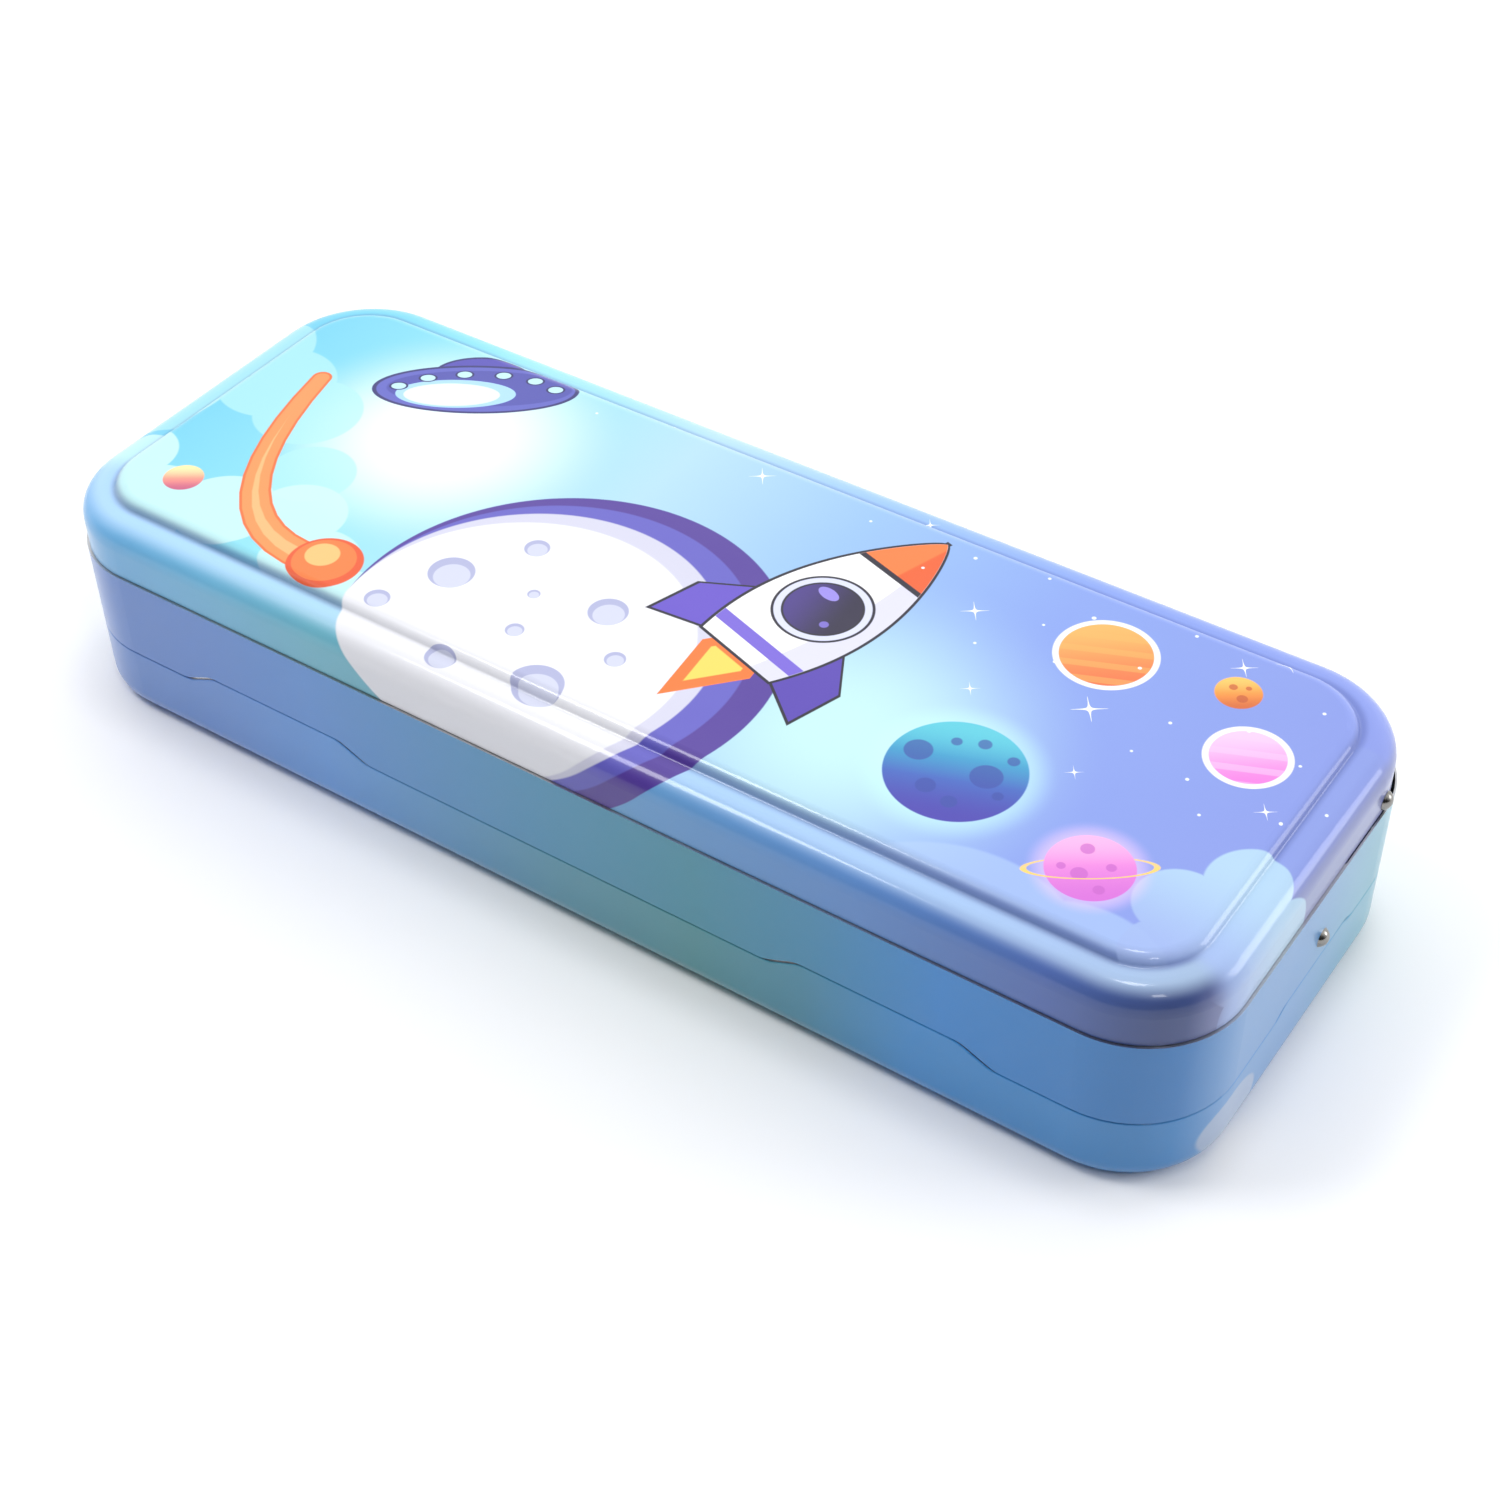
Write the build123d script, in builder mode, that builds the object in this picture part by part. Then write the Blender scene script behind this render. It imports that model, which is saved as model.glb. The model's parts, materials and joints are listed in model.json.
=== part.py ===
from build123d import *
from math import cos, radians, sin
import os

# Two-tier tinplate pencil case. Millimetres, +Z up.
# Origin: centre of the case's plan, on the face it stands on. X runs along the length, +Y to the back.

# ---- driving dimensions ----
length = 225.0
width = 85.0
corner_radius = 18.0
sheet = 0.3                  # tinplate thickness
tray_seam = 13.8             # height of the seam between bottom tray and middle tier
lid_seam = 30.6              # height of the seam between middle tier and lid
shoulder_height = 40.4       # top of the ledge round the lid
panel_height = 42.0          # top of the lid's raised panel
seam_gap = 0.12              # half of the lower seam's gap
tolerance = 0.01             # for picking edges by their place

# bottom tray
tray_wall = 0.45             # wall with its rolled edge
base_radius = 4.0            # rounding between wall and floor
rim_radius = 0.3             # rounding along the tray's upper edge
collar_rise = 3.6            # how far the inner collar stands above the tray's edge
collar_depth = 4.0           # how far it reaches down inside the tray
collar_back = 15.0           # the collar stops here, ahead of the swing of the lid's tail

# thumb reliefs in the lower seam: two on the front, one on each end
front_relief_x = 61.0
front_relief_half = 20.8
front_relief_ramp = 6.0
front_relief_rise = 2.7
end_relief_y = 3.0
end_relief_half = 14.0
end_relief_ramp = 3.0
end_relief_rise = 1.2
relief_round = 5.0
relief_slack = 0.9           # the tray's crest is narrower than the notch by this much at each side
relief_depth = 3.0           # depth of the strip that carries the crests
relief_margin = 1.0          # the strip stops this far short of the corner arcs

# upper pan, set inside the middle band
pan_inset = 2.5              # from the case's outer plan to the pan's outer wall
pan_back = 20.2              # outer face of the pan's back wall
pan_floor = 14.3
pan_rim = 35.4
pan_back_radius = 2.0
hem_height = 1.8
ledge_back = 10.0            # the band's folded ledge ends here

# lid
lid_clearance = 0.15
lid_inset = sheet + lid_clearance
lid_back_clearance = 0.35    # more room at the back, which swings down inside the band
lid_back_radius = 18.8
lid_gap = 0.1                # the skirt's edge floats this far above the ledge
shoulder_radius = 4.2
ledge_width = 5.7            # skirt to the foot of the riser
riser_angle = 60.0
riser_foot_radius = 0.7
riser_crest_radius = 2.5

# lid pivots, on ears behind the pan's ends
pivot_y = 24.0
pivot_z = 32.7
pivot_radius = 0.9
pivot_clearance = 0.05
pivot_tail_radius = 1.6
pivot_spacer_radius = 1.4
ear_radius = 3.2
ear_lap = 5.0                # how far the ear's plate laps over the pan's end wall
ear_rise = 2.7               # plate above the pivot
ear_drop = 5.1               # plate below the pivot, at its root

# rivets between pan and band
pan_rivet_y = 4.0
pan_rivet_z = 19.8
pan_rivet_radius = 1.1
pan_tail_radius = 1.9
pan_spacer_radius = 2.2
head_radius = 1.65
head_height = 1.15
tail_height = 0.5
washer_thickness = 0.2
washer_radius = 1.5
washer_gap = 0.2             # the skirt curves in towards the back corner

# back hinges
hinge_x = 62.0
hinge_offset = 1.2           # pin axis behind the back wall
hinge_pin_radius = 0.6
pin_head_radius = 0.85
hinge_clearance = 0.05
knuckle_radius = 1.05
knuckle_split = 3.5          # half length of the middle knuckle
knuckle_gap = 0.2
leaf_half = 9.0
leaf_height = 8.0
leaf_corner = 1.5
leaf_gap = 0.35              # a leaf's plate keeps clear of the other leaf's knuckles
tongue_start = 0.1           # a knuckle's tongue starts this far from the pin's axis
weld_radius = 1.1
weld_depth = 0.1

half_length = length / 2
half_width = width / 2
tray_top = tray_seam - seam_gap
band_bottom = tray_seam + seam_gap
pan_end = half_length - pan_inset
pan_end_inner = pan_end - sheet
pan_front_radius = corner_radius - pan_inset


# ---- outlines ----
def plan(inset, front_radius, back_radius, back=half_width):
    """Rounded rectangle, set in from the case's outer plan and cut short at the back."""
    x = half_length - inset
    front = -(half_width - inset)
    rear = min(back, half_width - inset)
    with BuildSketch(mode=Mode.PRIVATE) as outline:
        with BuildLine():
            Polyline((-x, front), (x, front), (x, rear), (-x, rear), close=True)
        make_face()
        fillet(outline.vertices().group_by(Axis.Y)[0], front_radius)
        fillet(outline.vertices().group_by(Axis.Y)[-1], back_radius)
    return outline.sketch


def inset_plan(inset):
    """Concentric plan: every corner keeps the case's corner centre."""
    return plan(inset, corner_radius - inset, corner_radius - inset)


def pan_plan(inset):
    """Plan of the upper pan, set in from its outer wall."""
    return plan(pan_inset + inset, pan_front_radius - inset, pan_back_radius - inset, pan_back - inset)


def lid_plan(inset):
    """Plan of the lid, set in from its skirt."""
    back = half_width - lid_inset - lid_back_clearance
    return plan(lid_inset + inset, corner_radius - lid_inset - inset, lid_back_radius - inset, back - inset)


def relief_profile(plane, centres, half, ramp, rise, height, reach):
    """Strip below a seam, with a smooth low crest at each centre; its top edge is the seam line."""
    points = [(-reach, height - relief_depth), (-reach, height)]
    for centre in centres:
        points += [
            (centre - half, height),
            (centre - half + ramp, height + rise),
            (centre + half - ramp, height + rise),
            (centre + half, height),
        ]
    points += [(reach, height), (reach, height - relief_depth)]
    with BuildSketch(plane, mode=Mode.PRIVATE) as strip:
        with BuildLine():
            Polyline(*points, close=True)
        make_face()
        crests = [v for v in strip.vertices() if abs(v.X) < reach - tolerance]
        fillet(crests, relief_round)
    return strip.sketch


def front_reliefs(height, slack):
    """Seam strip across the front wall, between the corner arcs."""
    centres = (-front_relief_x, front_relief_x)
    half = front_relief_half - slack
    reach = half_length - corner_radius - relief_margin
    plane = Plane.XZ.offset(half_width)
    return relief_profile(plane, centres, half, front_relief_ramp, front_relief_rise, height, reach)


def end_reliefs(height, slack):
    """Seam strip across the right-hand end wall, between the corner arcs."""
    half = end_relief_half - slack
    reach = half_width - corner_radius - relief_margin
    plane = Plane.YZ.offset(half_length)
    return relief_profile(plane, (end_relief_y,), half, end_relief_ramp, end_relief_rise, height, reach)


# ---- bottom tray ----
outer_wire = inset_plan(0).face().outer_wire()


def on_outer_rim(edge):
    """Whether the edge's middle is on the outer plan, level with the tray's upper edge or higher."""
    middle = edge @ 0.5
    above = middle.Z > tray_top - tolerance
    return above and outer_wire.distance_to(Vector(middle.X, middle.Y, 0)) < tolerance


with BuildPart() as tray_hollow:
    with BuildSketch(Plane.XY.offset(sheet)):
        add(inset_plan(tray_wall))
    extrude(amount=tray_top)
    fillet(tray_hollow.faces().sort_by(Axis.Z)[0].edges(), base_radius - tray_wall)

with BuildPart() as tray_end_crest:
    extrude(end_reliefs(tray_top, relief_slack), amount=-tray_wall)

with BuildPart() as bottom_tray:
    with BuildSketch():
        add(inset_plan(0))
    extrude(amount=tray_top)
    fillet(bottom_tray.faces().sort_by(Axis.Z)[0].edges(), base_radius)
    add(tray_hollow.part, mode=Mode.SUBTRACT)
    extrude(front_reliefs(tray_top, relief_slack), amount=-tray_wall)
    add(tray_end_crest.part)
    mirror(tray_end_crest.part, about=Plane.YZ)
    fillet(bottom_tray.edges().filter_by(on_outer_rim), rim_radius)

# open-backed collar inside the tray, which the middle band drops over
with BuildPart() as tray_collar:
    with BuildSketch(Plane.XY.offset(tray_top - collar_depth)):
        add(inset_plan(tray_wall))
        add(inset_plan(tray_wall + sheet), mode=Mode.SUBTRACT)
        with Locations((0, collar_back)):
            Rectangle(length, width, align=(Align.CENTER, Align.MIN), mode=Mode.SUBTRACT)
    extrude(amount=collar_depth + collar_rise)

# ---- middle tier ----
with BuildPart() as end_notch:
    extrude(end_reliefs(band_bottom, 0), amount=-2 * sheet)

with BuildPart() as middle_band:
    with BuildSketch(Plane.XY.offset(band_bottom)):
        add(inset_plan(0))
        add(inset_plan(sheet), mode=Mode.SUBTRACT)
    extrude(amount=lid_seam - band_bottom)
    # folded ledge that closes the space between band and pan, and carries the lid's edge
    with BuildSketch(Plane.XY.offset(lid_seam - sheet)):
        add(inset_plan(sheet))
        add(inset_plan(pan_inset), mode=Mode.SUBTRACT)
        with Locations((0, ledge_back)):
            Rectangle(length, width, align=(Align.CENTER, Align.MIN), mode=Mode.SUBTRACT)
    extrude(amount=sheet)
    extrude(front_reliefs(band_bottom, 0), amount=-2 * sheet, mode=Mode.SUBTRACT)
    add(end_notch.part, mode=Mode.SUBTRACT)
    mirror(end_notch.part, about=Plane.YZ, mode=Mode.SUBTRACT)
    with BuildSketch(Plane.YZ.offset(-half_length)):
        with Locations((pan_rivet_y, pan_rivet_z)):
            Circle(pan_rivet_radius)
    extrude(amount=length, mode=Mode.SUBTRACT)

with BuildPart() as upper_pan:
    with BuildSketch(Plane.XY.offset(pan_floor)):
        add(pan_plan(0))
    extrude(amount=pan_rim - pan_floor)
    with BuildSketch(Plane.XY.offset(pan_floor + sheet)):
        add(pan_plan(sheet))
    extrude(amount=pan_rim - pan_floor, mode=Mode.SUBTRACT)
    # turned-in hem along the rim
    with BuildSketch(Plane.XY.offset(pan_rim - hem_height)):
        add(pan_plan(sheet))
        add(pan_plan(2 * sheet), mode=Mode.SUBTRACT)
    extrude(amount=hem_height)
    # ears behind the pan that carry the lid's pivots
    with BuildSketch(Plane.YZ.offset(pan_end), Plane.YZ.offset(sheet - pan_end)):
        with Locations((pivot_y, pivot_z)):
            Circle(ear_radius)
        with BuildLine():
            Polyline(
                (pan_back - ear_lap, pivot_z - ear_drop),
                (pivot_y, pivot_z - ear_radius),
                (pivot_y, pivot_z + ear_rise),
                (pan_back - ear_lap, pivot_z + ear_rise),
                close=True,
            )
        make_face()
    extrude(amount=-sheet)
    with BuildSketch(Plane.YZ.offset(-half_length)):
        with Locations((pivot_y, pivot_z)):
            Circle(pivot_radius)
        with Locations((pan_rivet_y, pan_rivet_z)):
            Circle(pan_rivet_radius)
    extrude(amount=length, mode=Mode.SUBTRACT)

# ---- lid ----
lid_bottom = lid_seam + lid_gap
riser_reach = riser_foot_radius + riser_crest_radius
riser_run = riser_reach * sin(radians(riser_angle))
riser_fall = riser_reach * cos(radians(riser_angle))


def lid_curve(depth):
    """Section of the lid from skirt edge to panel, at a depth below its outer surface."""
    shoulder_centre = (shoulder_radius, shoulder_height - shoulder_radius)
    foot_centre = (ledge_width, shoulder_height + riser_foot_radius)
    crest_centre = (foot_centre[0] + riser_run, foot_centre[1] - riser_fall)
    ledge = shoulder_height - depth
    return [
        Line((depth, lid_bottom), (depth, shoulder_centre[1])),
        CenterArc(shoulder_centre, shoulder_radius - depth, 180, -90),
        Line((shoulder_radius, ledge), (ledge_width, ledge)),
        CenterArc(foot_centre, riser_foot_radius + depth, 270, riser_angle),
        CenterArc(crest_centre, riser_crest_radius - depth, 90 + riser_angle, -riser_angle),
    ]


with BuildPart() as lid_shell:
    with BuildLine() as lid_path:
        add(lid_plan(0).face().outer_wire())
    with BuildSketch(Plane(origin=(0, lid_inset - half_width, 0), x_dir=(0, 1, 0), z_dir=(1, 0, 0))):
        with BuildLine():
            outer = lid_curve(0)
            inner = lid_curve(sheet)
            Line(outer[-1] @ 1, inner[-1] @ 1)
            Line(outer[0] @ 0, inner[0] @ 0)
        make_face()
    sweep(path=lid_path.wires()[0])
    with BuildSketch(Plane.XY.offset(panel_height - sheet)):
        add(lid_plan(ledge_width + riser_run))
    extrude(amount=sheet)
    with BuildSketch(Plane.YZ.offset(-half_length)):
        with Locations((pivot_y, pivot_z)):
            Circle(pivot_radius + pivot_clearance)
    extrude(amount=length, mode=Mode.SUBTRACT)


# ---- rivets, spacers and washers, made for the right-hand end and mirrored ----
def rivet(y, z, shaft_radius, tail_radius, outer_x):
    """Shaft along X with a domed head outside and a flat tail against the pan's wall."""
    dome_radius = (head_radius**2 + head_height**2) / (2 * head_height)
    tail_x = pan_end_inner - tail_height
    with BuildPart() as body:
        with BuildSketch(Plane(origin=(0, y, z), x_dir=(1, 0, 0), z_dir=(0, -1, 0))):
            with BuildLine():
                Polyline(
                    (outer_x + head_height, 0),
                    (tail_x, 0),
                    (tail_x, tail_radius),
                    (pan_end_inner, tail_radius),
                    (pan_end_inner, shaft_radius),
                    (outer_x, shaft_radius),
                    (outer_x, head_radius),
                )
                RadiusArc((outer_x, head_radius), (outer_x + head_height, 0), dome_radius)
            make_face()
        revolve(axis=Axis((0, y, z), (1, 0, 0)))
    return body.part


def ring(y, z, start_x, thickness, inner_radius, outer_radius):
    """Flat ring round an axis along X."""
    with BuildPart() as body:
        with BuildSketch(Plane.YZ.offset(start_x)):
            with Locations((y, z)):
                Circle(outer_radius)
                Circle(inner_radius, mode=Mode.SUBTRACT)
        extrude(amount=thickness)
    return body.part


skirt_outer = half_length - lid_inset
washer_start = skirt_outer - sheet - washer_gap - washer_thickness
pivot_spacer_length = washer_start - pan_end
pan_spacer_length = half_length - sheet - pan_end
pivot = (pivot_y, pivot_z)
pan_rivet = (pan_rivet_y, pan_rivet_z)
end_pieces = {
    "lid_pivot": rivet(*pivot, pivot_radius, pivot_tail_radius, skirt_outer + pivot_clearance),
    "pivot_spacer": ring(*pivot, pan_end, pivot_spacer_length, pivot_radius, pivot_spacer_radius),
    "pivot_washer": ring(*pivot, washer_start, washer_thickness, pivot_radius, washer_radius),
    "pan_rivet": rivet(*pan_rivet, pan_rivet_radius, pan_tail_radius, half_length),
    "pan_spacer": ring(*pan_rivet, pan_end, pan_spacer_length, pan_rivet_radius, pan_spacer_radius),
}

# ---- back hinges, each placed by the middle of its pin ----
pin_y = half_width + hinge_offset
plate_start = knuckle_radius + leaf_gap
running_bore = hinge_pin_radius + hinge_clearance
knuckle_end = knuckle_split + knuckle_gap
upper_spans = [(-knuckle_split, knuckle_split)]
lower_spans = [(-leaf_half, -knuckle_end), (knuckle_end, leaf_half)]


def hinge_leaf(centre_x, spans, bore_radius, up):
    """Plate welded to the back wall, with a tongue and a knuckle on each span along X."""
    plate_z = tray_seam + up * (plate_start + leaf_height / 2)
    tongue_height = plate_start + leaf_corner - tongue_start
    tongue_z = tray_seam + up * (tongue_start + tongue_height / 2)
    with BuildPart() as leaf:
        with BuildSketch(Plane.XZ.offset(-half_width)):
            with Locations((centre_x, plate_z)):
                RectangleRounded(2 * leaf_half, leaf_height, leaf_corner)
            for low, high in spans:
                with Locations((centre_x + (low + high) / 2, tongue_z)):
                    Rectangle(high - low, tongue_height)
        extrude(amount=-sheet)
        for low, high in spans:
            with BuildSketch(Plane.YZ.offset(centre_x + low)):
                with Locations((pin_y, tray_seam)):
                    Circle(knuckle_radius)
            extrude(amount=high - low)
            with BuildSketch(Plane.YZ.offset(centre_x + low)):
                with Locations((pin_y, tray_seam)):
                    Circle(bore_radius)
            extrude(amount=high - low, mode=Mode.SUBTRACT)
        # shallow dimples of the two spot welds
        with BuildSketch(Plane.XZ.offset(-half_width - sheet)):
            with Locations((centre_x - leaf_half / 2, plate_z), (centre_x + leaf_half / 2, plate_z)):
                Circle(weld_radius)
        extrude(amount=weld_depth, mode=Mode.SUBTRACT)
    return leaf.part


def hinge_pin(centre_x):
    """Wire pin with a small upset head at each end."""
    start = centre_x - leaf_half - knuckle_gap
    pin_length = 2 * (leaf_half + knuckle_gap)
    head_starts = (start - knuckle_gap, start + pin_length - knuckle_gap)
    with BuildPart() as pin:
        with BuildSketch(Plane.YZ.offset(start)):
            with Locations((pin_y, tray_seam)):
                Circle(hinge_pin_radius)
        extrude(amount=pin_length)
        with BuildSketch(*[Plane.YZ.offset(x) for x in head_starts]):
            with Locations((pin_y, tray_seam)):
                Circle(pin_head_radius)
        extrude(amount=2 * knuckle_gap)
    return pin.part


# ---- labels and files ----
bottom_tray.part.label = "bottom_tray"
tray_collar.part.label = "tray_collar"
middle_band.part.label = "middle_band"
upper_pan.part.label = "upper_pan"
lid_shell.part.label = "lid_shell"
pieces = [bottom_tray.part, tray_collar.part, middle_band.part, upper_pan.part, lid_shell.part]


def labelled(piece, label):
    """Name a piece and put it with the others."""
    piece.label = label
    pieces.append(piece)


for name, piece in end_pieces.items():
    labelled(mirror(piece, about=Plane.YZ), name + "_left")
    labelled(piece, name + "_right")
for side, centre in (("left", -hinge_x), ("right", hinge_x)):
    labelled(hinge_leaf(centre, upper_spans, running_bore, 1), "hinge_upper_leaf_" + side)
    labelled(hinge_leaf(centre, lower_spans, hinge_pin_radius, -1), "hinge_lower_leaf_" + side)
    labelled(hinge_pin(centre), "hinge_pin_" + side)

os.makedirs("parts", exist_ok=True)
for piece in pieces:
    export_step(piece, f"parts/{piece.label}.step")
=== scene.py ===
import json
import math

import bpy
from mathutils import Matrix, Vector

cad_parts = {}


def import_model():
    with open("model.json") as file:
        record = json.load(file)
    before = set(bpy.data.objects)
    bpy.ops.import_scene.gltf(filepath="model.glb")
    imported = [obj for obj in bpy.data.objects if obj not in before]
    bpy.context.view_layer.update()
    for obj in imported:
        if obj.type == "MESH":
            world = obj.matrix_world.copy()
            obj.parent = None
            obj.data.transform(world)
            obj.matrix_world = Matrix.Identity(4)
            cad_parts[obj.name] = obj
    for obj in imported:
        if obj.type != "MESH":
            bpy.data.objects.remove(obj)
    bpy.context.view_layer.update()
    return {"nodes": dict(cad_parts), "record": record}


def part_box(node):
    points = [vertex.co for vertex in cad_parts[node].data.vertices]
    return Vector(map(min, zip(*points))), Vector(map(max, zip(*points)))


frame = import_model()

MM = 0.001

# ---------------------------------------------------------------- sizes, from the frame
_, lid_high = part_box("lid_shell")
_, tray_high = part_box("bottom_tray")
HALF_X = tray_high[0] / MM
HALF_Y = tray_high[1] / MM
TOP = lid_high[2] / MM

# the case's corner radius in mm, and the core rectangle that the corners are drawn about
CORNER = 18.0
CORE_X = HALF_X - CORNER
CORE_Y = HALF_Y - CORNER

# fades over the lid's edge, in mm out from the core rectangle and then down: start and end
# painted shade along the crease at the foot of the raised panel: where it rises and where it falls away
PAINTED_SHADE_START = (10.0, 12.0)
PAINTED_SHADE_END = (14.2, 12.8)
BORDER = (11.6, 13.6)
# painted highlight: the ledge is lightened, fading out down the shoulder
PAINTED_LEDGE_HIGHLIGHT = (15.5, 20.0)
SKIRT = (18.0, 21.5)

# how far the ringed and shaded planets lean, in degrees
LEAN = 34


# ---------------------------------------------------------------- node helpers
class Net:
    """Short calls that add nodes to one material and return their output sockets."""

    def __init__(self, name):
        self.material = bpy.data.materials.new(name)
        self.material.use_nodes = True
        self.tree = self.material.node_tree
        self.tree.nodes.clear()
        out = self.tree.nodes.new("ShaderNodeOutputMaterial")
        self.shader = self.tree.nodes.new("ShaderNodeBsdfPrincipled")
        self.tree.links.new(self.shader.outputs[0], out.inputs[0])
        self.coords = self.tree.nodes.new("ShaderNodeTexCoord")

    def plug(self, socket, value):
        if isinstance(value, bpy.types.NodeSocket):
            self.tree.links.new(value, socket)
        else:
            socket.default_value = value

    def math(self, operation, a, b=0.0, c=0.0, clamp=False):
        node = self.tree.nodes.new("ShaderNodeMath")
        node.operation = operation
        node.use_clamp = clamp
        for socket, value in zip(node.inputs, (a, b, c)):
            self.plug(socket, value)
        return node.outputs[0]

    def add(self, a, b):
        return self.math("ADD", a, b)

    def sub(self, a, b):
        return self.math("SUBTRACT", a, b)

    def mul(self, a, b):
        return self.math("MULTIPLY", a, b)

    def step(self, value, low, high, new_low=0.0, new_high=1.0):
        """Smooth rise of the value from low to high."""
        node = self.tree.nodes.new("ShaderNodeMapRange")
        node.interpolation_type = "SMOOTHSTEP"
        for key, number in (("Value", value), ("From Min", low), ("From Max", high),
                            ("To Min", new_low), ("To Max", new_high)):
            self.plug(node.inputs[key], number)
        return node.outputs[0]

    def mix(self, factor, a, b):
        node = self.tree.nodes.new("ShaderNodeMix")
        node.data_type = "RGBA"
        self.plug(node.inputs[0], factor)
        for socket, value in ((node.inputs[6], a), (node.inputs[7], b)):
            self.plug(socket, rgb(value) if isinstance(value, tuple) else value)
        return node.outputs[2]

    def split(self, vector):
        node = self.tree.nodes.new("ShaderNodeSeparateXYZ")
        self.plug(node.inputs[0], vector)
        return node.outputs

    def join(self, x, y, z=0.0):
        node = self.tree.nodes.new("ShaderNodeCombineXYZ")
        for socket, value in zip(node.inputs, (x, y, z)):
            self.plug(socket, value)
        return node.outputs[0]

    def vector(self, operation, a, b=None, scale=None):
        node = self.tree.nodes.new("ShaderNodeVectorMath")
        node.operation = operation
        self.plug(node.inputs[0], a)
        if b is not None:
            self.plug(node.inputs[1], b)
        if scale is not None:
            self.plug(node.inputs[3], scale)
        return node.outputs["Value" if operation in ("DOT_PRODUCT", "LENGTH", "DISTANCE") else "Vector"]

    def noise(self, vector, scale, detail=2.0, roughness=0.5):
        node = self.tree.nodes.new("ShaderNodeTexNoise")
        self.plug(node.inputs["Vector"], vector)
        node.inputs["Scale"].default_value = scale
        node.inputs["Detail"].default_value = detail
        node.inputs["Roughness"].default_value = roughness
        return node.outputs["Fac"]

    def ramp(self, value, stops):
        node = self.tree.nodes.new("ShaderNodeValToRGB")
        self.plug(node.inputs[0], value)
        elements = node.color_ramp.elements
        while len(elements) < len(stops):
            elements.new(0.5)
        for element, (place, colour) in zip(elements, stops):
            element.position = place
            element.color = rgb(colour)
        return node.outputs[0]

    def bump(self, height, strength, distance):
        node = self.tree.nodes.new("ShaderNodeBump")
        node.inputs["Strength"].default_value = strength
        node.inputs["Distance"].default_value = distance
        self.plug(node.inputs["Height"], height)
        self.plug(self.shader.inputs["Normal"], node.outputs[0])

    def finish(self, **sockets):
        for key, value in sockets.items():
            socket = self.shader.inputs[key.replace("_", " ")]
            self.plug(socket, rgb(value) if isinstance(value, tuple) else value)
        return self.material


def rgb(colour):
    """Screen colour, 0 to 255, to linear RGBA."""
    def linear(c):
        c = c / 255
        return c / 12.92 if c <= 0.04045 else ((c + 0.055) / 1.055) ** 2.4
    return tuple(linear(c) for c in colour[:3]) + (1.0,)


# ---------------------------------------------------------------- printed artwork
class Print(Net):
    """A printed tin piece. (u, v) are millimetres on the flat sheet before its skirt was drawn down."""

    def __init__(self, name):
        super().__init__(name)
        self.place = self.vector("SCALE", self.coords.outputs["Object"], scale=1 / MM)
        x, y, z = self.split(self.place)
        inner = self.join(
            self.math("MAXIMUM", self.math("MINIMUM", x, CORE_X), -CORE_X),
            self.math("MAXIMUM", self.math("MINIMUM", y, CORE_Y), -CORE_Y),
        )
        away = self.vector("SUBTRACT", self.join(x, y), inner)
        drop = self.math("MAXIMUM", self.sub(TOP, z), 0.0)
        self.outward = self.vector("NORMALIZE", away)
        self.reach = self.add(self.vector("LENGTH", away), drop)
        self.sheet = self.vector("ADD", self.join(x, y), self.vector("SCALE", self.outward, scale=drop))
        self.side_x, self.side_y, _ = self.split(self.outward)
        self.length_share = self.math("MULTIPLY_ADD", x, 0.5 / HALF_X, 0.5)
        self.y = y
        self.colour = None

    def layer(self, mask, colour):
        self.colour = self.mix(mask, self.colour, colour)

    def local(self, centre, angle=0.0):
        """Coordinates about a point of the artwork, turned by an angle in degrees."""
        node = self.tree.nodes.new("ShaderNodeMapping")
        node.vector_type = "TEXTURE"
        node.inputs["Location"].default_value = (centre[0], centre[1], 0)
        node.inputs["Rotation"].default_value = (0, 0, math.radians(angle))
        self.plug(node.inputs["Vector"], self.sheet)
        return node.outputs[0]

    def disc(self, centre, radius, soft=0.12, angle=0.0, flat=1.0):
        """Mask of a disc or an ellipse: flat is its height over its width."""
        if flat == 1.0 and angle == 0.0:
            away = self.vector("DISTANCE", self.sheet, (centre[0], centre[1], 0))
        else:
            at = self.vector("MULTIPLY", self.local(centre, angle), (1, 1 / flat, 0))
            away = self.vector("LENGTH", at)
        return self.step(away, radius + soft, radius - soft)

    def blobs(self, centres, soft=0.12):
        """Mask of the union of several discs, each (u, v, radius)."""
        nearest = None
        for u, v, radius in centres:
            away = self.sub(self.vector("DISTANCE", self.sheet, (u, v, 0)), radius)
            nearest = away if nearest is None else self.math("MINIMUM", nearest, away)
        return self.step(nearest, soft, -soft)

    def trail(self, points, thin, thick):
        """Signed distance from a rounded streak through the points, which widens from thin to thick."""
        nearest = None
        grow = (thick - thin) / (len(points) - 1)
        for number, (start, end) in enumerate(zip(points, points[1:])):
            run = (end[0] - start[0], end[1] - start[1], 0)
            run_square = run[0] ** 2 + run[1] ** 2
            at = self.vector("SUBTRACT", self.sheet, (*start, 0))
            share = self.math("DIVIDE", self.vector("DOT_PRODUCT", at, run), run_square, clamp=True)
            near = self.vector("LENGTH", self.vector("SUBTRACT", at, self.vector("SCALE", run, scale=share)))
            edge = self.sub(near, self.math("MULTIPLY_ADD", share, grow, thin + grow * number))
            nearest = edge if nearest is None else self.math("MINIMUM", nearest, edge)
        return nearest

    def star(self, centre, reach, angle=35.0, waist=0.13):
        """Mask of a four-pointed sparkle."""
        a, b, _ = self.split(self.vector("ABSOLUTE", self.local(centre, angle)))
        curve = self.math("MULTIPLY", self.add(a, 0.02), self.add(b, 0.02))
        inside = self.step(curve, waist * reach * reach * 0.16, waist * reach * reach * 0.08)
        near = self.step(self.math("MAXIMUM", a, b), reach, reach * 0.8)
        return self.mul(inside, near)


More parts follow.
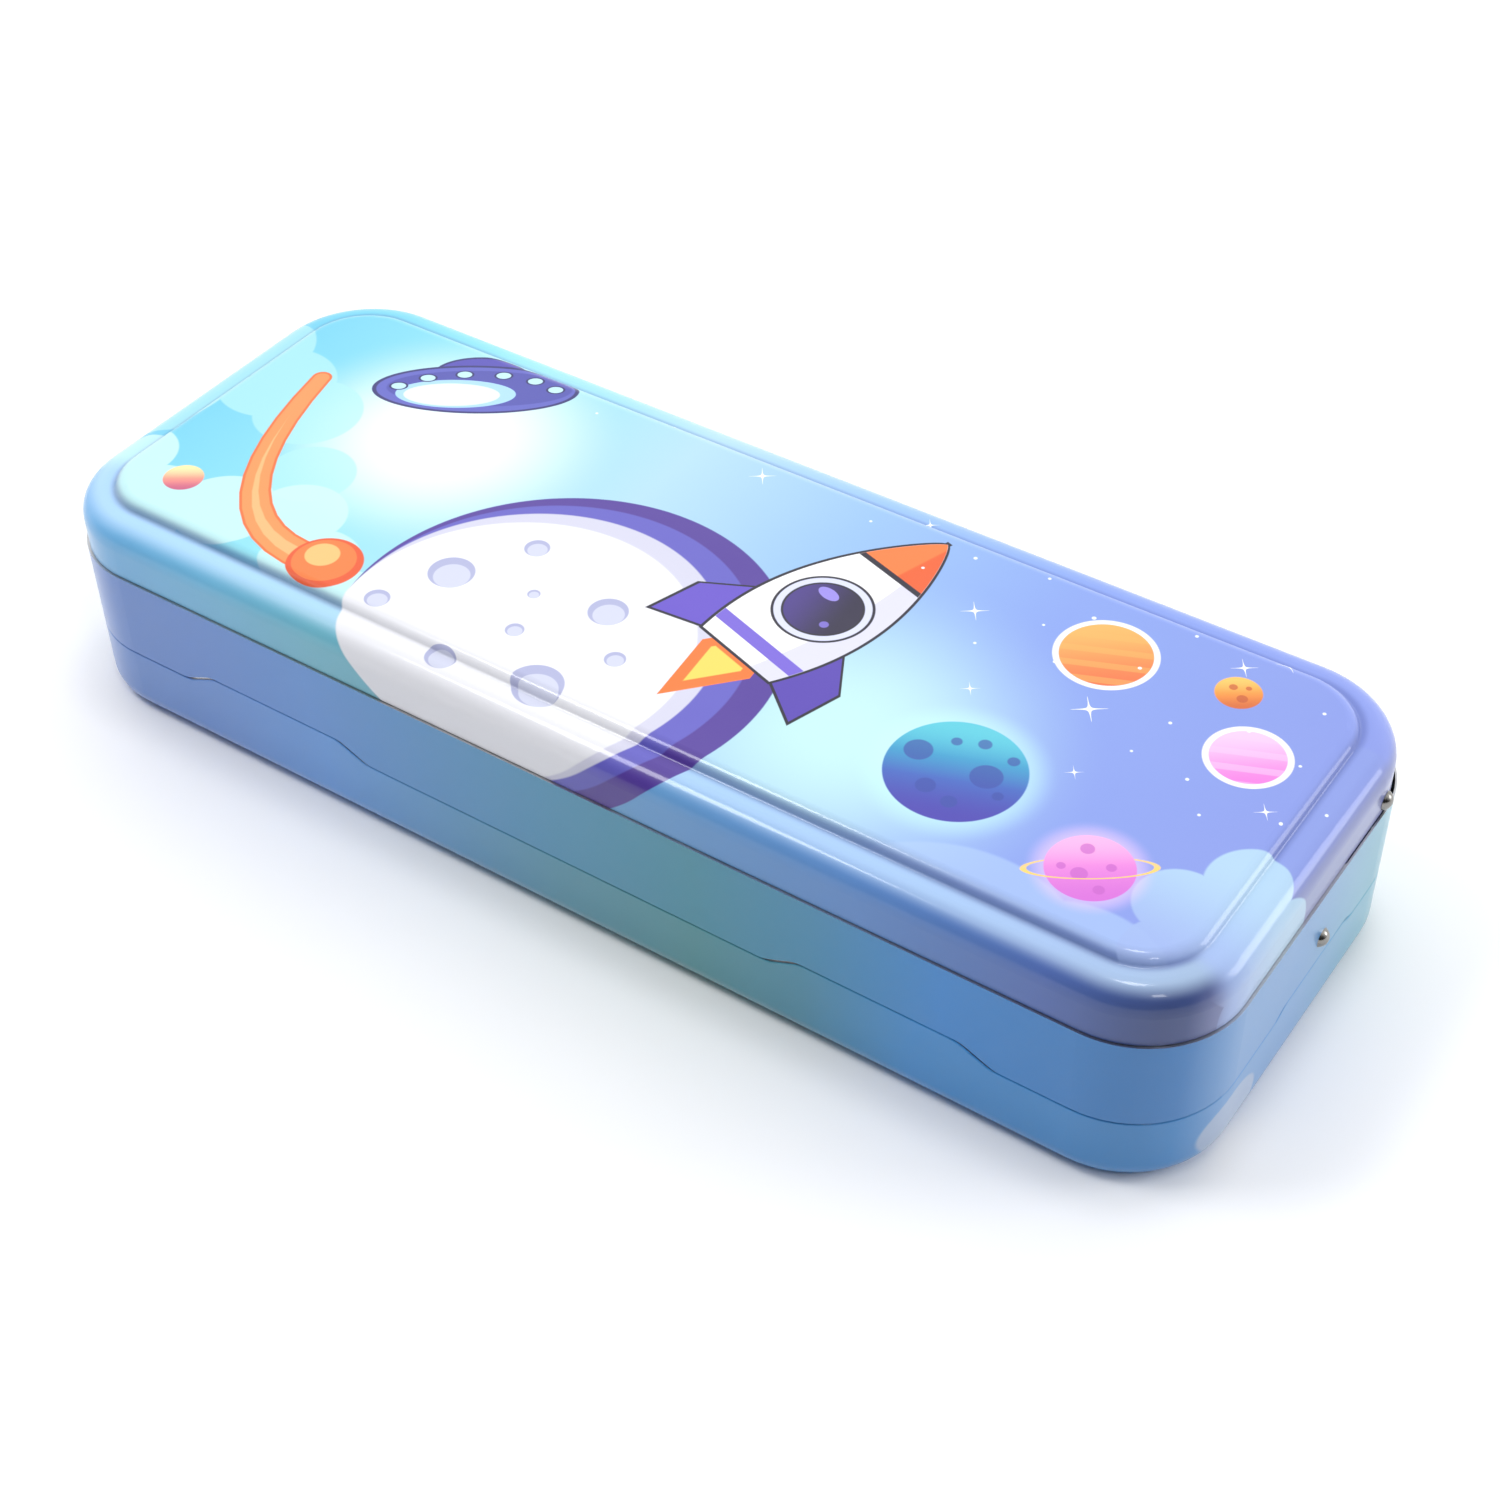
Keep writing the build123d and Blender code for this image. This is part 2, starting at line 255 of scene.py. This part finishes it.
def lid_print():
    """Evening sky with clouds, a moon, a comet, a rocket, a saucer and planets."""
    art = Print("print_lid")

    # sky: cyan at the left, periwinkle at the right, with two pale glows
    art.colour = art.ramp(art.length_share, [
        (0.00, (100, 196, 226)), (0.20, (138, 216, 232)), (0.40, (172, 212, 234)),
        (0.56, (146, 186, 232)), (0.74, (130, 156, 226)), (1.00, (128, 144, 218)),
    ])
    glow = art.step(art.vector("DISTANCE", art.sheet, (38, -17, 0)), 42, 3)
    art.layer(art.mul(glow, 0.95), (190, 232, 234))
    glow = art.step(art.vector("DISTANCE", art.sheet, (-63, 9, 0)), 34, 8)
    art.layer(art.mul(glow, 0.95), (238, 250, 252))

    # clouds at the left end, one behind the other
    far = [(-112, 12, 13), (-99, 6, 11), (-88, 2, 10), (-118, -4, 14), (-75, -12, 8)]
    art.layer(art.mul(art.blobs(far, 0.25), 0.75), (168, 226, 232))
    near = [(-106, -24, 8), (-94, -33, 10), (-81, -28, 9.5), (-69, -22, 8.5), (-59, -31, 9), (-48, -36, 8)]
    art.layer(art.mul(art.blobs(near, 0.25), 0.85), (196, 236, 238))
    art.layer(art.mul(art.blobs([(74, -52, 24), (92, -46, 17)], 0.4), 0.6), (166, 194, 234))

    # along the front, ledge and skirt carry a border of their own: blue, teal, then blue to violet, darkened
    # at the right end as painted shade of the front-right corner
    front_band_print_and_painted_light = art.ramp(art.length_share, [
        (0.03, (114, 182, 238)), (0.17, (116, 190, 230)), (0.28, (116, 190, 212)), (0.40, (108, 178, 194)),
        # the last two stops darken towards the front-right corner: painted shade
        (0.58, (106, 164, 218)), (0.75, (98, 146, 212)), (0.89, (86, 114, 186)), (0.97, (60, 78, 134)),
    ])
    # painted highlight: pale blue mixed into the ledge, fading out down the shoulder
    front_band_print_and_painted_light = art.mix(art.step(art.reach, *PAINTED_LEDGE_HIGHLIGHT, 0.55, 0.0), front_band_print_and_painted_light, (196, 226, 255))
    rim = art.step(art.reach, *BORDER)
    front = art.mul(rim, art.step(art.side_y, 0.1, -0.4))
    art.layer(front, front_band_print_and_painted_light)
    skirt = art.mul(art.step(art.reach, *SKIRT), art.step(art.side_x, 0.75, 1.0))
    art.layer(art.mul(skirt, 0.85), (126, 134, 180))

    # painted shade: a darker band along the crease at the foot of the raised panel
    painted_crease_shade = art.mul(art.step(art.reach, *PAINTED_SHADE_START), art.step(art.reach, *PAINTED_SHADE_END))
    art.layer(art.mul(painted_crease_shade, 0.5), (62, 82, 158))

    # pale cloud at the right end; it leaves the front of the border clear
    cloud = [(107, -13, 8.0), (99, -22, 7), (111, -24, 11), (122, -14, 9), (103, -32, 8), (124, -28, 8)]
    clear = art.mul(rim, art.step(art.side_y, -0.2, -0.5))
    cloud = art.mul(art.blobs(cloud, 0.25), art.sub(0.9, art.mul(clear, 0.9)))
    art.layer(cloud, art.mix(art.step(art.y, -10, -34), (174, 208, 232), (152, 174, 226)))

    big_moon(art)
    comet(art)
    rocket(art)
    saucer(art)
    planets(art)
    for place, reach in (((-8.6, 30.6), 2.6), ((40.9, 19), 2.6), ((83.8, 30.1), 2.4), ((89.4, 35.2), 2.6),
                         ((50, 2), 1.8), ((68, 8), 3.2), ((101, 2), 2.0), ((73, -6), 1.7), ((22, 38), 1.9)):
        art.layer(art.star(place, reach), (250, 253, 255))
    specks = [(34, 31, .34), (47, 33, .28), (58, 28, .38), (62, 36, .26), (70, 21, .32), (74, 33, .3),
              (91, 17, .36), (99, 27, .3), (101, 14, .26), (104, 1, .34), (45, 12, .26), (58, 15, .34),
              (80, 12, .3), (88, 2, .3), (78, 3, .24), (52, 22, .24), (28, 24, .28), (93, -4, .26),
              (110, 8, .3), (-30, 35, .3), (-44, 30, .26), (14, 30, .26)]
    art.layer(art.blobs(specks, 0.1), (240, 249, 255))
    return printed_tin(art, is_lid=True)


def big_moon(art):
    """Large pale moon behind the middle of the lid, with a violet night side and craters."""
    for centre, radius, soft, colour in (
        ((-12, -24), 37.5, 0.15, (78, 52, 150)), ((-14.5, -24.5), 34.4, 0.2, (96, 92, 190)),
        ((-17, -26), 32.0, 0.2, (206, 206, 226)), ((-18.5, -28), 30.4, 0.25, (236, 237, 244)),
    ):
        art.layer(art.disc(centre, radius, soft), colour)
    for u, v, r in ((-37, -20, 4.0), (-26, -38, 2.8), (-9, -14, 3.4), (-8, -35, 4.8), (-29, -7, 2.2),
                    (-43, -32, 2.2), (-19, -26, 1.6), (-1, -23, 1.8), (-22, -17, 1.1)):
        art.layer(art.disc((u, v), r, 0.12), (172, 176, 212))
        art.layer(art.disc((u + 0.16 * r, v - 0.18 * r), 0.78 * r, 0.12), (204, 208, 230))


def comet(art):
    """Orange comet: a curved tail that thickens into a round head."""
    start, bend, end = Vector((-93.0, 11.5)), Vector((-84.0, -33.0)), Vector((-58.0, -30.0))
    shares = [number / 12 for number in range(13)]
    path = [start * (1 - t) ** 2 + bend * 2 * t * (1 - t) + end * t * t for t in shares]
    tail = art.trail(path, 1.9, 3.6)
    for inset, colour in ((0.0, (232, 108, 44)), (0.5, (244, 146, 78)), (2.2, (242, 180, 116))):
        art.layer(art.step(tail, 0.12 - inset, -0.12 - inset), colour)
    for place, radius, colour in (
        ((-56.5, -29.6), 6.6, (226, 84, 34)),
        ((-57.0, -29.2), 5.5, (240, 122, 54)),
        ((-58.2, -28.2), 3.0, (244, 190, 116)),
    ):
        art.layer(art.disc(place, radius, 0.15), colour)


def rocket(art):
    """Plain rocket on the slant, with an outline, a round window, fins and a flame."""
    nose_reach, hull_reach, hull_half, line = 30.0, 15.0, 11.0, 0.6
    ink, white, violet = (24, 20, 42), (252, 252, 255), (100, 78, 196)
    at = art.local((19, 3), 252)
    a, b, _ = art.split(at)
    side = art.math("ABSOLUTE", b)
    # ogive hull: its half-width follows a sine from the nose to the tail
    turn = art.math("MULTIPLY", art.add(a, nose_reach), 2.3 / (nose_reach + hull_reach))
    turn = art.math("MAXIMUM", art.math("MINIMUM", turn, 2.6), 0.0)
    half = art.mul(art.math("POWER", art.math("SINE", turn), 0.8), hull_half)
    hull_ends = art.math("MAXIMUM", art.sub(a, hull_reach), art.sub(-nose_reach, a))
    hull = art.math("MAXIMUM", art.sub(side, half), hull_ends)
    # fins sweep back from the lower hull
    fin_half = art.math("MINIMUM", art.add(art.mul(a, 1.05), 9.0), 18.0)
    fin_ends = art.math("MAXIMUM", art.sub(a, art.add(11.0, art.mul(side, 0.42))), art.sub(-3.0, a))
    fin = art.math("MAXIMUM", art.sub(side, fin_half), fin_ends)
    flame_half = art.sub(6.2, art.mul(art.math("ABSOLUTE", art.sub(a, 17.0)), 0.45))
    flame = art.math("MAXIMUM", art.sub(side, flame_half), art.sub(14.0, a))
    art.layer(art.step(flame, 0.1, -0.1), (248, 118, 44))
    art.layer(art.step(flame, -2.2, -2.5), (255, 212, 92))
    art.layer(art.step(fin, line + 0.1, line - 0.1), ink)
    art.layer(art.step(fin, 0.1, -0.1), violet)
    art.layer(art.mul(art.step(fin, 0.1, -0.1), art.step(b, -0.5, 0.5)), (82, 60, 172))
    art.layer(art.step(hull, line + 0.1, line - 0.1), ink)
    art.layer(art.step(hull, 0.1, -0.1), white)
    shade = art.math("MAXIMUM", hull, art.sub(art.mul(half, 0.45), b))
    art.layer(art.step(shade, 0.15, -0.15), (216, 216, 238))
    nose = art.math("MAXIMUM", hull, art.add(a, 17.5))
    art.layer(art.step(nose, 0.1, -0.1), (248, 122, 54))
    art.layer(art.mul(art.step(nose, 0.1, -0.1), art.step(b, 0.8, 1.4)), (228, 92, 34))
    for place, wide in ((-17.5, 0.55), (10.5, 1.3)):
        stripe = art.math("MAXIMUM", hull, art.sub(art.math("ABSOLUTE", art.sub(a, place)), wide))
        art.layer(art.step(stripe, 0.1, -0.1), (118, 98, 210) if wide > 1 else ink)
    window = art.vector("LENGTH", art.vector("SUBTRACT", at, (-3.0, 0, 0)))
    glass = art.mix(art.step(art.sub(b, art.mul(a, 0.4)), 6.0, -6.0), (30, 22, 58), (66, 46, 132))
    for radius, colour in ((8.6, ink), (8.1, (214, 218, 246)), (6.9, ink), (6.5, glass)):
        art.layer(art.step(window, radius + 0.1, radius - 0.1), colour)
    for place, flat, radius, colour in (
        ((-6.2, -2.4, 0), 1.8, 2.2, (150, 136, 226)),
        ((-0.6, 3.2, 0), 1.0, 0.8, (120, 106, 200)),
    ):
        shine = art.vector("LENGTH", art.vector("MULTIPLY", art.vector("SUBTRACT", at, place), (flat, 1, 0)))
        art.layer(art.step(shine, radius + 0.1, radius - 0.1), colour)


def saucer(art):
    """Flying saucer of plain discs with a row of round lights."""
    tilt = 31
    place = (-67.0, 24.0)
    art.layer(art.disc((-69.4, 28.4), 8.6, 0.12, tilt, 0.62), (42, 40, 112))
    art.layer(art.disc((-69.4, 28.4), 8.0, 0.12, tilt, 0.6), (78, 70, 176))
    art.layer(art.disc(place, 19.0, 0.12, tilt, 0.40), (42, 40, 112))
    art.layer(art.disc(place, 18.2, 0.15, tilt, 0.385), (92, 96, 190))
    art.layer(art.disc((-66.6, 24.6), 17.0, 0.3, tilt, 0.33), (74, 76, 170))
    art.layer(art.disc((-69.2, 20.9), 11.0, 0.12, tilt, 0.40), (168, 214, 246))
    art.layer(art.disc((-69.6, 20.3), 8.8, 0.12, tilt, 0.40), (228, 246, 253))
    turn = math.radians(tilt)
    for along, across in ((-14.2, 0.6), (-9.2, 3.3), (-2.6, 4.6), (4.6, 4.5), (10.6, 2.9), (14.6, 0.3)):
        u = place[0] + along * math.cos(turn) - across * math.sin(turn)
        v = place[1] + along * math.sin(turn) + across * math.cos(turn)
        art.layer(art.disc((u, v), 1.75, 0.1, tilt, 0.72), (36, 36, 100))
        art.layer(art.disc((u, v), 1.35, 0.1, tilt, 0.72), (190, 232, 250))


def planets(art):
    """Cratered teal planet, ringed pink planet, two small ones and two striped ones."""
    # teal to violet
    centre, radius = (57.8, -15.6), 11.2
    x, y, _ = art.split(art.local(centre, LEAN))
    body = art.ramp(art.step(art.add(y, art.mul(x, 0.25)), -11, 11), [
        (0.0, (66, 58, 168)), (0.35, (58, 96, 184)), (0.7, (52, 150, 196)), (1.0, (86, 196, 214)),
    ])
    glow = art.step(art.vector("DISTANCE", art.sheet, (*centre, 0)), 16, 10.5)
    art.layer(art.mul(glow, 0.45), (196, 246, 250))
    art.layer(art.disc(centre, radius, 0.15), body)
    for u, v, r in ((50.6, -14.6, 2.3), (58.6, -8.0, 1.1), (62.4, -14.2, 2.6), (55.6, -20.8, 1.6),
                    (64.2, -9.0, 1.0), (54.6, -9.8, 0.9), (60.4, -22.0, 1.3), (66.0, -17.0, 0.9)):
        art.layer(art.mul(art.disc((u, v), r, 0.15), 0.75), (48, 70, 160))
    # pink; its yellow ring passes behind the upper half and in front of the lower half
    centre, radius = (84.8, -22.7), 6.8
    at = art.local(centre, LEAN)
    _, y, _ = art.split(at)
    art.layer(art.mul(art.step(art.vector("LENGTH", at), 10, 6.4), 0.5), (236, 200, 250))
    ring_at = art.vector("LENGTH", art.vector("MULTIPLY", at, (1, 4.4, 0)))
    ring = art.mul(art.step(ring_at, 10.4, 10.1), art.step(ring_at, 9.2, 9.5))
    art.layer(art.mul(ring, 0.9), (248, 208, 116))
    pink = art.ramp(art.step(y, -7, 7), [
        (0.0, (206, 104, 208)), (0.55, (226, 130, 214)), (1.0, (244, 176, 224)),
    ])
    art.layer(art.disc(centre, radius, 0.12), pink)
    for u, v, r in ((82.6, -19.4, 1.1), (87.4, -21.0, 0.8), (84.0, -24.6, 1.3), (88.0, -26.0, 0.9),
                    (81.0, -24.6, 0.7)):
        art.layer(art.mul(art.disc((u, v), r, 0.12), 0.7), (190, 88, 192))
    art.layer(art.mul(ring, art.step(y, 0.2, -0.2)), (250, 206, 108))
    # small orange
    at = art.local((85.7, 24.2), LEAN)
    _, y, _ = art.split(at)
    body = art.ramp(art.step(y, -4, 4), [(0.0, (206, 98, 40)), (0.5, (240, 150, 58)), (1.0, (252, 196, 96))])
    art.layer(art.disc((85.7, 24.2), 3.8, 0.12), body)
    for u, v, r in ((84.4, 25.0, 0.7), (86.8, 23.2, 0.9), (86.6, 26.0, 0.5)):
        art.layer(art.mul(art.disc((u, v), r, 0.1), 0.8), (190, 84, 34))
    # small pink and cream
    at = art.local((-93, -25), LEAN)
    _, y, _ = art.split(at)
    body = art.ramp(art.step(y, -3.6, 3.6), [
        (0.0, (196, 84, 124)), (0.45, (244, 150, 130)), (1.0, (252, 232, 168)),
    ])
    art.layer(art.disc((-93, -25), 3.6, 0.12), body)
    # two striped planets at the right with white outlines, one orange, one pink
    for place, size, low, high in (((64, 21), 7.6, (236, 112, 60), (250, 176, 90)),
                                   ((93.5, 11.5), 6.0, (232, 120, 214), (250, 196, 232))):
        at = art.local(place, LEAN)
        x, y, _ = art.split(at)
        art.layer(art.disc(place, size + 1.0, 0.15), (250, 250, 255))
        art.layer(art.disc(place, size, 0.12), art.mix(art.step(y, -size, size), low, high))
        wave = art.math("SINE", art.add(art.mul(y, 1.7), art.mul(x, 0.35)))
        stripes = art.mul(art.step(wave, 0.2, 0.45), art.disc(place, size - 0.05, 0.12))
        art.layer(art.mul(stripes, 0.45), high)


def middle_print():
    """Violet-blue at the left, teal in the middle, clear blue at the right."""
    art = Print("print_middle")
    side_sky(art, [
        (0.00, (104, 140, 210)), (0.16, (102, 145, 218)), (0.27, (99, 153, 223)), (0.50, (80, 153, 190)),
        (0.62, (73, 151, 173)), (0.72, (69, 147, 188)), (0.82, (61, 143, 218)), (1.00, (54, 125, 192)),
    ])
    return printed_tin(art)


def bottom_print():
    """As the middle tier, with its teal further along and a pale cloud low on the right end."""
    art = Print("print_bottom")
    side_sky(art, [
        (0.00, (106, 142, 211)), (0.17, (108, 152, 222)), (0.28, (106, 163, 232)), (0.50, (91, 156, 179)),
        (0.62, (84, 154, 163)), (0.71, (76, 148, 175)), (0.80, (68, 150, 218)), (1.00, (63, 137, 201)),
    ])
    away = art.vector("SUBTRACT", art.place, (HALF_X, -24, 6))
    cloud = art.vector("LENGTH", art.vector("MULTIPLY", away, (0, 1, 1.6)))
    on_end = art.mul(art.step(art.side_x, 0.7, 0.9), 0.75)
    art.layer(art.mul(art.step(cloud, 8.5, 7.5), on_end), (176, 188, 208))
    return printed_tin(art)


def side_sky(art, stops):
    """Colours along the length; the ends are paler and turn teal towards the back."""
    art.colour = art.ramp(art.length_share, stops)
    paler = art.step(art.math("ABSOLUTE", art.side_x), 0.75, 1.0)
    art.layer(art.mul(paler, 0.75), (104, 152, 204))
    art.layer(art.mul(art.step(art.y, -6, 32), 0.85), (90, 168, 182))


def printed_tin(art, is_lid=False):
    """Varnished print outside, bright tin inside and on the cut edges."""
    normal = art.coords.outputs["Normal"]
    facing = art.vector("DOT_PRODUCT", normal, art.outward)
    nz = art.split(normal)[2]
    lid_like = art.step(nz, 0.15, 0.3) if is_lid else art.step(nz, -0.6, -0.75)
    outside = art.math("MAXIMUM", art.step(facing, 0.1, 0.25), lid_like)
    place = art.coords.outputs["Object"]
    cloudy = art.noise(place, 60.0, 3.0)
    tin = art.mix(cloudy, (172, 174, 178), (204, 205, 208))
    tint = art.mix(art.mul(cloudy, 0.02), art.colour, (255, 255, 255))
    colour = art.mix(outside, tin, tint)
    art.bump(art.noise(place, 900.0, 1.0), 0.015, 0.00005)
    rough = art.step(cloudy, 0.3, 0.75, 0.28, 0.31)
    art.shader.inputs["Coat Weight"].default_value = 0.45
    art.shader.inputs["Coat Roughness"].default_value = 0.06
    art.shader.inputs["Coat IOR"].default_value = 1.5
    art.shader.inputs["Specular IOR Level"].default_value = 0.25
    return art.finish(
        Base_Color=colour,
        Metallic=art.math("SUBTRACT", 1.0, outside),
        Roughness=rough,
    )


def tinplate():
    """Plain lacquered tin: faint rolling lines and soft blotches."""
    net = Net("bare_tin")
    place = net.coords.outputs["Object"]
    lines = net.noise(net.vector("MULTIPLY", place, (14, 500, 160)), 1.0, 2.0)
    cloudy = net.noise(place, 70.0, 3.0)
    net.bump(lines, 0.008, 0.0001)
    return net.finish(
        Base_Color=net.mix(cloudy, (200, 201, 204), (222, 222, 224)),
        Metallic=1.0,
        Roughness=net.step(net.add(net.mul(lines, 0.5), net.mul(cloudy, 0.5)), 0.3, 0.7, 0.26, 0.29),
    )


def plated(name, dark, light, low, high):
    """Plated steel with fine marks."""
    net = Net(name)
    place = net.coords.outputs["Object"]
    marks = net.noise(place, 1500.0, 3.0)
    cloudy = net.noise(place, 300.0, 2.0)
    net.bump(marks, 0.08, 0.0001)
    return net.finish(
        Base_Color=net.mix(cloudy, dark, light),
        Metallic=1.0,
        Roughness=net.step(marks, 0.3, 0.7, low, high),
    )


MATERIALS = {
    "print_lid": lid_print(),
    "print_middle": middle_print(),
    "print_bottom": bottom_print(),
    "bare_tin": tinplate(),
    "rivet_steel": plated("rivet_steel", (104, 102, 100), (176, 174, 170), 0.14, 0.28),
    "hinge_steel": plated("hinge_steel", (176, 178, 182), (208, 209, 212), 0.24, 0.38),
}
for part in frame["record"]["subparts"]:
    node = frame["nodes"][part["node"]]
    node.data.materials.clear()
    node.data.materials.append(MATERIALS[part["material_slot"]])


# ---------------------------------------------------------------- stage, light and camera
def plain(name, colour, roughness):
    """Even paper with a barely seen speckle."""
    net = Net(name)
    speckle = net.noise(net.coords.outputs["Object"], 30.0, 2.0)
    dim = tuple(c - 2 for c in colour)
    return net.finish(Base_Color=net.mix(speckle, colour, dim), Roughness=roughness)


def floor():
    half = 3.0
    mesh = bpy.data.meshes.new("floor")
    corners = [(-half, -half, 0), (half, -half, 0), (half, half, 0), (-half, half, 0)]
    mesh.from_pydata(corners, [], [(0, 1, 2, 3)])
    ground = bpy.data.objects.new("floor", mesh)
    bpy.context.scene.collection.objects.link(ground)
    mesh.materials.append(plain("floor_paper", (252, 252, 253), 0.55))
    ground.location.z = -0.0001


def softbox(name, place, aim, size, watts):
    light = bpy.data.lights.new(name, "AREA")
    light.shape = "RECTANGLE"
    light.size, light.size_y = size
    light.energy = watts
    lamp = bpy.data.objects.new(name, light)
    bpy.context.scene.collection.objects.link(lamp)
    lamp.location = place
    lamp.rotation_euler = (Vector(aim) - Vector(place)).to_track_quat("-Z", "Y").to_euler()


def world():
    """White studio surround: bright overhead and behind, dark on the camera's side."""
    scene = bpy.context.scene
    scene.view_settings.view_transform = "Standard"
    scene.world = scene.world or bpy.data.worlds.new("studio")
    scene.world.use_nodes = True
    tree = scene.world.node_tree
    coords = tree.nodes.new("ShaderNodeTexCoord")
    front = tree.nodes.new("ShaderNodeVectorMath")
    front.operation = "DOT_PRODUCT"
    front.inputs[1].default_value = (0.32, -0.86, -0.40)
    level = tree.nodes.new("ShaderNodeMapRange")
    level.interpolation_type = "SMOOTHSTEP"
    for key, number in (("From Min", -0.30), ("From Max", 0.42), ("To Min", 1.12), ("To Max", 0.02)):
        level.inputs[key].default_value = number
    tree.links.new(coords.outputs["Generated"], front.inputs[0])
    tree.links.new(front.outputs["Value"], level.inputs["Value"])
    tree.links.new(level.outputs[0], tree.nodes["Background"].inputs["Strength"])
    tree.nodes["Background"].inputs["Color"].default_value = (1, 1, 1, 1)


def camera():
    """The photograph's standpoint, about 0.45 m from the case."""
    azimuth, elevation, roll = (math.radians(a) for a in (34.73, 42.54, -0.94))
    aim = Vector((0.0030, 0.0087, 0.0))
    distance = 0.4549
    back = Vector((
        math.sin(azimuth) * math.cos(elevation),
        -math.cos(azimuth) * math.cos(elevation),
        math.sin(elevation),
    ))
    right = Vector((math.cos(azimuth), math.sin(azimuth), 0))
    up = back.cross(right)
    turned_right = right * math.cos(roll) + up * math.sin(roll)
    turned_up = up * math.cos(roll) - right * math.sin(roll)
    data = bpy.data.cameras.new("camera")
    data.sensor_width = 36.0
    data.lens = 61.38
    data.clip_start = 0.01
    eye = bpy.data.objects.new("camera", data)
    bpy.context.scene.collection.objects.link(eye)
    matrix = Matrix((turned_right, turned_up, back)).transposed().to_4x4()
    matrix.translation = aim + back * distance
    eye.matrix_world = matrix
    bpy.context.scene.camera = eye


floor()
world()
softbox("overhead", (-0.38, -0.24, 0.82), (0, 0, 0), (0.22, 0.22), 2.0)
softbox("side", (0.80, 0.55, 0.35), (0, 0, 0.02), (0.4, 0.4), 2.3)
softbox("crest", (0.04, 0.10, 0.95), (0, 0, 0.04), (0.16, 0.16), 1.1)
softbox("glint", (0.50, -0.33, 0.70), (0, 0, 0.04), (0.12, 0.12), 0.5)
camera()
